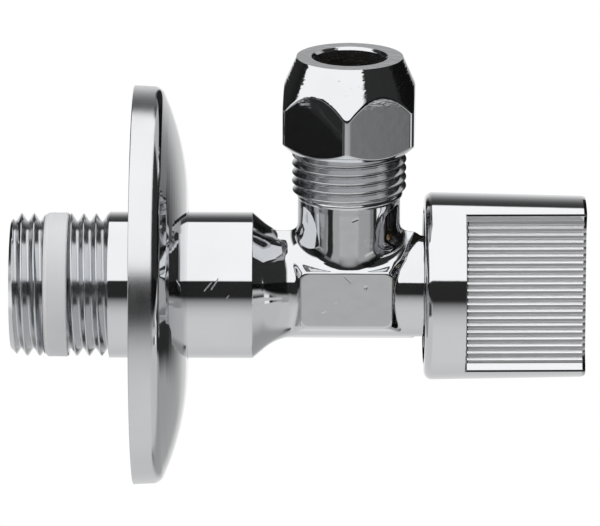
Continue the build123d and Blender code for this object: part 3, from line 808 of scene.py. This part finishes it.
cap_radius = 4.5 * mm
cap_depth = 1.8 * mm
satin_half_width = 10.4 * mm
arc_points = 40
knob_mirror = (0.665, 0.67, 0.685)


def knob_radius(along):
    return knob_start_radius - (along - knob_start) * knob_draft


def grip_outline(radius, sunk=0.0, groove=groove_depth):
    """Outline across the grip with its normals: lip, grooves, lip and arc, twice round."""
    lip = sqrt(radius**2 - lip_half_chord**2)
    flat = lip - lip_depth - sunk
    lean = 0.02
    swing = atan2(lip_half_chord, lip)
    half_flat = lip_half_chord - lip_width - lip_depth
    corners = [
        (radius * cos(swing + lean), -radius * sin(swing + lean)),
        (lip, -lip_half_chord, lip_break),
        (lip, lip_width - lip_half_chord, lip_break),
        (flat, -half_flat, groove_break * 2),
    ]
    for number in range(groove_count):
        middle = (number - (groove_count - 1) / 2) * groove_pitch
        corners.append((flat, middle - groove_width / 2, groove_break))
        corners.append((flat - groove, middle, groove_break))
        corners.append((flat, middle + groove_width / 2, groove_break))
    corners.append((flat, half_flat, groove_break * 2))
    corners.append((lip, lip_half_chord - lip_width, lip_break))
    corners.append((lip, lip_half_chord, lip_break))
    corners.append((radius * cos(swing + lean), radius * sin(swing + lean)))
    points, normals = rounded_path(corners, steps=3)
    angle = np.linspace(swing + lean, pi - swing - lean, arc_points)[1:-1]
    arc = np.stack((np.cos(angle), np.sin(angle)), -1)
    points = np.concatenate((points, arc * radius))
    normals = np.concatenate((-normals, arc))
    points = np.concatenate((points, -points))
    normals = np.concatenate((normals, -normals))
    spin = np.array(((cos(knob_turn), sin(knob_turn)), (-sin(knob_turn), cos(knob_turn))))
    return points @ spin, normals @ spin


def grip_rows(rows):
    """Patch through outlines placed along the valve: each is its place, its points and its normals."""
    points = [np.column_stack((np.full(len(p), along), p)) for along, p, n in rows]
    return wrap_patch(np.array(points), np.array([n for along, p, n in rows]))


grip = []
# A fillet leads from the shoulder down onto the flats
for turn in np.linspace(0, pi / 2, 6):
    along = knob_flats_start + shoulder_fillet * (1 - cos(turn))
    groove = groove_depth * max(sin(turn) ** 3, 0.02)
    outline, normals = grip_outline(knob_radius(along), shoulder_fillet * (sin(turn) - 1), groove)
    deeper = grip_outline(knob_radius(along), shoulder_fillet, groove)[0]
    on_flat = np.abs(outline - deeper).max(axis=1) > same_place
    share = np.where(on_flat, sin(turn), 1.0)[:, None]
    lean = np.where(on_flat, cos(turn), knob_draft)
    grip.append((along, outline, np.column_stack((lean, normals * share))))
for along in np.linspace(knob_flats_start + shoulder_fillet, knob_end - flat_run_out, 5)[1:]:
    outline, normals = grip_outline(knob_radius(along))
    grip.append((along, outline, np.column_stack((np.full(len(normals), knob_draft), normals))))
# The grooves and the flats run out in a bevel at the free end
end_radius = knob_radius(knob_end) - flat_run_out * end_draw_in
end_outline = grip_outline(end_radius, flat_run_out, groove_depth * end_groove_share)[0]
last_outline, last_normals = grip[-1][1:]
bevel_normals = np.column_stack((np.full(len(end_outline), end_slope), last_normals[:, 1:] * end_slope))
bevel = wrap_patch(
    np.array(
        [
            np.column_stack((np.full(len(last_outline), knob_end - flat_run_out), last_outline)),
            np.column_stack((np.full(len(end_outline), knob_end), end_outline)),
        ]
    ),
    np.array([bevel_normals, bevel_normals]),
)


def end_ring(outline, along, radius, facing):
    """Flat patch from an outline to a circle inside it, square to the valve."""
    angle = np.arctan2(outline[:, 1], outline[:, 0])
    circle = np.stack((np.cos(angle), np.sin(angle)), -1) * radius
    rows = [outline, circle] if facing > 0 else [circle, outline]
    points = np.array([np.column_stack((np.full(len(row), along), row)) for row in rows])
    return wrap_patch(points, np.broadcast_to((facing, 0.0, 0.0), points.shape))


# The shoulder's rim has the angles of the grip outline, so that the two meet point to point
grip_angles = np.arctan2(grip[0][1][:, 1], grip[0][1][:, 0])
shoulder_radius = knob_radius(knob_flats_start)
rim_outline = np.stack((np.cos(grip_angles), np.sin(grip_angles)), -1) * shoulder_radius
shoulder = np.array(
    [np.column_stack((np.full(len(row), knob_flats_start), row)) for row in (rim_outline, grip[0][1])]
)


def in_the_knob(middle):
    """Faces of the hollow over the headwork and of the well under the cap."""
    x, y, z = middle.T
    off_the_ends = (x > knob_start + 0.01 * mm) & (x < knob_end - 0.1 * mm)
    between_flats = np.abs(y * cos(knob_turn) + z * sin(knob_turn)) < hollow_half_width
    return (np.hypot(y, z) < hollow_reach) & off_the_ends & between_flats


knob = piece(
    "knob_finish",
    [
        turned(
            [
                (knob_start + 5.0 * mm, knob_start_radius - knob_wall),
                (knob_start, knob_start_radius - knob_wall, 0.2 * mm),
                (knob_start, knob_start_radius, knob_edge),
                (knob_flats_start, shoulder_radius),
            ],
            lying,
            segments=256,
            steps=12,
        ),
        wrap_patch(shoulder, np.broadcast_to((1.0, 0.0, 0.0), shoulder.shape)),
        grip_rows(grip),
        bevel,
        end_ring(end_outline, knob_end, cap_radius, 1.0),
        turned([(knob_end, cap_radius, 0.1 * mm), (knob_end - cap_depth, cap_radius)], lying),
        hidden_faces("knob", in_the_knob),
    ],
    "handle",
    "knob",
)
knob_chrome = chrome("plated_moulding", knob_mirror, 0.03)
x, y, z = knob_chrome.place.parts()
swell = knob_chrome.noise(4 * mm) * 0.6 + knob_chrome.noise(0.4 * mm, 1.0) * 0.05
knob_chrome.raise_by(swell, 0.012 * mm)
# The grip is satin: its moulding tool was blasted between the lips
across = y * sin(-knob_turn) + z * cos(knob_turn)
from_middle = knob_chrome.place.maths("ABSOLUTE", across)
on_grip = x.between(knob_flats_start + shoulder_fillet, knob_flats_start + shoulder_fillet + 0.1 * mm)
on_grip = on_grip * (1 - from_middle.between(satin_half_width - 0.1 * mm, satin_half_width + 0.1 * mm))
knob_chrome.feed("Roughness", 0.03 + on_grip * 0.32 + knob_chrome.noise(3 * mm) * 0.02)
# Between the lips the base colour is also lifted almost to white: a painted sheen that lightens the grip's
# lands
grip_painted_sheen = on_grip * (0.9 + knob_chrome.noise(1.5 * mm) * 0.2)
knob_chrome.feed("Base Color", knob_chrome.blend(grip_painted_sheen, knob_mirror, (0.93, 0.935, 0.95)))
knob_chrome.give(knob)

# Cap of the knob's screw well. A plain disc, moulded and plated like the knob, and pressed in over
# the screw.
cap_chrome = chrome("plated_cap", knob_mirror, 0.03)
cap_chrome.raise_by(cap_chrome.noise(2 * mm), 0.01 * mm)
cap_chrome.give(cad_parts["knob_cap"])

# Headwork, piston and spindle. Turned from brass bar and left bare, since they sit inside the valve;
# the lathe's fine rings show on them.
brass = uneven(
    "turned_brass",
    (0.72, 0.50, 0.20),
    (0.80, 0.60, 0.28),
    blotches=(4 * mm, 3.0),
    rough=(0.2, 0.2, 0.8 * mm, 3.0),
    relief=(0.003 * mm, 0.15 * mm, 1.0, 0.5, (1, 0.05, 0.05)),
    Metallic=1.0,
)
brass.give(*[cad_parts[name] for name in ("headwork_body", "valve_piston", "spindle")])

# Compression olive. A brass ring deep in the nut's hole, where it grips the pipe once the nut is tightened.
# Its colour is painted nearly black: painted shade of the hole, not the brass's own tone.
olive_brass_painted_dark = uneven(
    "olive_brass_painted_dark",
    (0.05, 0.042, 0.03),
    (0.09, 0.075, 0.05),
    blotches=(3 * mm, 3.0),
    rough=(0.4, 0.2, 0.8 * mm, 3.0),
    relief=(0.003 * mm, 0.15 * mm, 1.0),
    Metallic=1.0,
)
olive_brass_painted_dark.give(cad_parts["compression_olive"])

# Screws, clip and lock washer. Drawn or stamped steel with no finish, only seen when the valve is
# taken apart.
steel = uneven(
    "plain_steel",
    (0.45, 0.45, 0.46),
    (0.58, 0.58, 0.60),
    blotches=(2 * mm, 3.0),
    rough=(0.25, 0.2, 0.6 * mm, 3.0),
    relief=(0.003 * mm, 0.2 * mm),
    Metallic=1.0,
)
steel_nodes = ("washer_screw", "knob_screw", "lock_washer", "retaining_clip")
steel.give(*[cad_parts[name] for name in steel_nodes])

# Rubber rings and the seat washer. Moulded, black and slightly dusty; the rings seal the spindle and
# the piston, and the washer closes on the seat.
rubber = uneven(
    "black_rubber",
    (0.012, 0.012, 0.013),
    (0.04, 0.04, 0.042),
    blotches=(1.5 * mm, 4.0),
    rough=(0.55, 0.25, 0.5 * mm, 3.0),
    relief=(0.006 * mm, 0.12 * mm, 3.0),
    Specular_IOR_Level=0.3,
)
rubber_nodes = ("spindle_o_ring_1", "spindle_o_ring_2", "piston_o_ring", "seat_washer")
rubber.give(*[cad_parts[name] for name in rubber_nodes])

# Slip washer and the headwork's flat seal. Stamped from PTFE sheet, so that the spindle's barrel and
# the headwork's hexagon turn easily on them.
ptfe = uneven(
    "ptfe_sheet",
    (0.75, 0.75, 0.74),
    (0.83, 0.83, 0.83),
    blotches=(1.5 * mm, 3.0),
    rough=(0.4, 0.15, 0.6 * mm),
    relief=(0.004 * mm, 0.2 * mm),
    Specular_IOR_Level=0.4,
)
ptfe.give(*[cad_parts[name] for name in ("slip_washer", "headwork_seal")])

# Photographer's table. Pale card, far enough below that no shadow reaches it, and lit evenly so that
# it reads as a white ground.
floor_drop = 0.5
floor_size = 6.0
floor_level = cad_box[0][2] - floor_drop
floor_signs = ((-1, -1), (1, -1), (1, 1), (-1, 1))
floor_corners = [(x * floor_size, y * floor_size, floor_level) for x, y in floor_signs]
floor_mesh = bpy.data.meshes.new("table")
floor_mesh.from_pydata(floor_corners, [], [(0, 1, 2, 3)])
floor = bpy.data.objects.new("table", floor_mesh)
bpy.context.scene.collection.objects.link(floor)
floor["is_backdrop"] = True
floor.visible_glossy = False
floor.visible_diffuse = False
card = Material("pale_card", Emission_Strength=1.0)
card.shader.inputs["Base Color"].default_value = (0.0, 0.0, 0.0, 1)
card.shader.inputs["Specular IOR Level"].default_value = 0.0
card.feed("Emission Color", card.blend(card.noise(0.5), (1.0, 1.0, 1.0), (1.02, 1.02, 1.02)))
card.give(floor)

# Studio. A softbox above and behind the camera, black flags below it, and a pale table in front; the
# directions are those in which the valve's chrome reflects them.
softbox = 1.36
window = 1.2
black = 0.02
flag_cover = 0.98
world = bpy.data.worlds.new("studio")
bpy.context.scene.world = world
world.use_nodes = True
backdrop = world.node_tree.nodes["Background"]
backdrop.inputs["Color"].default_value = (1, 1, 1, 1)
studio = Shade(world.node_tree, None)
direction = studio.node("ShaderNodeTexCoord", {}, {}, "Generated")
side, depth, height = direction.parts()


def lamps(angle, start, stops):
    """Brightness round one turn of an angle in degrees, given as (degrees, brightness)."""
    return studio.node(
        "ShaderNodeValToRGB",
        {"stops": [((degrees - start) / 360, bright / 2) for degrees, bright in stops]},
        {"Fac": (angle - start) / 360.0},
    ) * 2.0


# Angle up from straight towards the camera, over the top and round behind
over = studio.maths("ARCTAN2", height, depth * -1.0) * (180 / pi)
over = over + studio.maths("LESS_THAN", over, -90.0) * 360.0
overhead = lamps(
    over,
    -90.0,
    [
        (-90.0, 0.84),
        (-60.0, 0.85),
        (-37.0, 0.83),
        (-26.0, 0.75),
        (-20.0, 0.66),
        (-16.0, 0.56),
        (-11.0, 0.43),
        (-6.0, 0.22),
        (-3.0, 0.06),
        (-1.0, black),
        (22.5, black),
        (24.0, softbox),
        (134.0, softbox),
        (135.5, 0.035),
        (144.0, 0.06),
        (150.0, 0.12),
        (157.0, 0.28),
        (165.0, 0.5),
        (176.0, 0.8),
        (197.0, 0.95),
        (212.0, 0.8),
        (240.0, 0.74),
        (269.0, 0.84),
    ],
)
# The softbox ends at the right, where a black flag stands
flag = side.between(0.36, 0.44) * flag_cover
overhead = overhead * (1 - flag * height.between(-0.06, 0.02))
# Low round the sides, from straight behind by the left to straight behind by the right
around = studio.maths("ARCTAN2", side, depth * -1.0) * (180 / pi)
low = lamps(
    around,
    -180.0,
    [
        (-180.0, 0.6),
        (-119.0, 0.6),
        (-116.0, window),
        (-89.0, window),
        (-87.0, black),
        (-81.5, black),
        (-80.0, 0.22),
        (-69.5, 0.22),
        (-68.5, black),
        (-61.5, black),
        (-60.5, 0.2),
        (-55.0, 0.2),
        (-54.0, black),
        (-37.0, black),
        (-35.0, 0.5),
        (46.0, 0.46),
        (50.0, 0.27),
        (56.0, 0.27),
        (57.0, black),
        (64.0, black),
        (66.0, window),
        (76.0, window),
        (78.0, black),
        (141.0, 0.03),
        (147.0, 0.17),
        (152.0, 0.3),
        (157.0, 0.45),
        (165.0, 0.65),
        (179.0, 0.8),
    ],
)
wide = studio.maths("ABSOLUTE", side)
at_side = wide.between(0.28, 0.4) * (1 - height.between(-0.16, -0.06))
right_behind = side.between(0.06, 0.14) * depth.between(0.0, 0.2)
below = right_behind * (1 - height.between(-0.1, -0.04))
at_side = studio.maths("MAXIMUM", at_side, below)
brightness = overhead * (1 - at_side) + low * at_side
# The room behind is dark on both sides, and lit high up at the right
left_behind = (1 - side.between(-0.4, -0.2)) * depth.between(0.16, 0.22) * height.between(-0.12, -0.06)
level_behind = right_behind * height.between(-0.1, -0.04) * (1 - height.between(0.32, 0.38))
dark = studio.maths("MAXIMUM", left_behind, level_behind)
brightness = brightness * (1 - dark * flag_cover)
lit_above = side.between(0.3, 0.4) * depth.between(0.3, 0.42) * height.between(0.36, 0.42)
brightness = brightness * (1 - lit_above) + lit_above * 0.6
# Far down both sides the table shows, grey at the right and lighter in front
deep = wide.between(0.15, 0.3) * (1 - height.between(-0.38, -0.32))
table_light = 0.75 - side.between(0.0, 0.1) * depth.between(-0.1, 0.3) * 0.32
brightness = brightness * (1 - deep) + deep * table_light
ahead = side.between(0.9, 0.94) * (1 - depth.between(-0.15, 0.05)) * (1 - height.between(-0.24, -0.16))
brightness = studio.maths("MAXIMUM", brightness, ahead * 0.7)
# In front at the right the flags are only a low strip, with the bright table under and over it
front_right = side.between(0.5, 0.6) * (1 - depth.between(-0.1, 0.0)) * (1 - height.between(-0.19, -0.15))
strip = height.between(-0.31, -0.295) * (1 - height.between(-0.25, -0.235))
opened = front_right * (1 - strip)
brightness = brightness * (1 - opened) + opened * 0.72
seen = studio.node("ShaderNodeLightPath", {}, {}, "Is Camera Ray")
world.node_tree.links.new((brightness * (1 - seen) + seen).socket, backdrop.inputs["Strength"])
bpy.context.scene.view_settings.view_transform = "Standard"

# Camera. A long lens far away, which looks 17 degrees down on the valve from its front and puts the
# outlet's axis where the picture has it.
sensor = 36.0
picture_width, picture_height = 600, 526
pixels_a_mm = 6.83
camera_distance = 0.75
camera_height = radians(17.0)
camera_roll = radians(0.2)
outlet_in_picture = (348.4, 285.4)
camera_data = bpy.data.cameras.new("camera")
camera_data.sensor_fit = "HORIZONTAL"
camera_data.sensor_width = sensor
camera_data.lens = sensor * camera_distance / (picture_width / pixels_a_mm * mm)
camera_data.clip_end = 20.0
camera = bpy.data.objects.new("camera", camera_data)
bpy.context.scene.collection.objects.link(camera)
backwards = Vector((0.0, -cos(camera_height), sin(camera_height)))
upwards = Vector((0.0, sin(camera_height), cos(camera_height)))
to_right = Vector((1.0, 0.0, 0.0))
roll = Matrix.Rotation(camera_roll, 3, backwards)
upwards = roll @ upwards
to_right = roll @ to_right
aim = (
    Vector((outlet_x, 0.0, 0.0))
    + to_right * ((picture_width / 2 - outlet_in_picture[0]) / pixels_a_mm * mm)
    + upwards * ((outlet_in_picture[1] - picture_height / 2) / pixels_a_mm * mm)
)
place = aim + backwards * camera_distance
camera.matrix_world = Matrix(
    (
        (to_right.x, upwards.x, backwards.x, place.x),
        (to_right.y, upwards.y, backwards.y, place.y),
        (to_right.z, upwards.z, backwards.z, place.z),
        (0.0, 0.0, 0.0, 1.0),
    )
)
bpy.context.scene.camera = camera

[[list(corner) for corner in box] for box in (cad_box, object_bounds())]
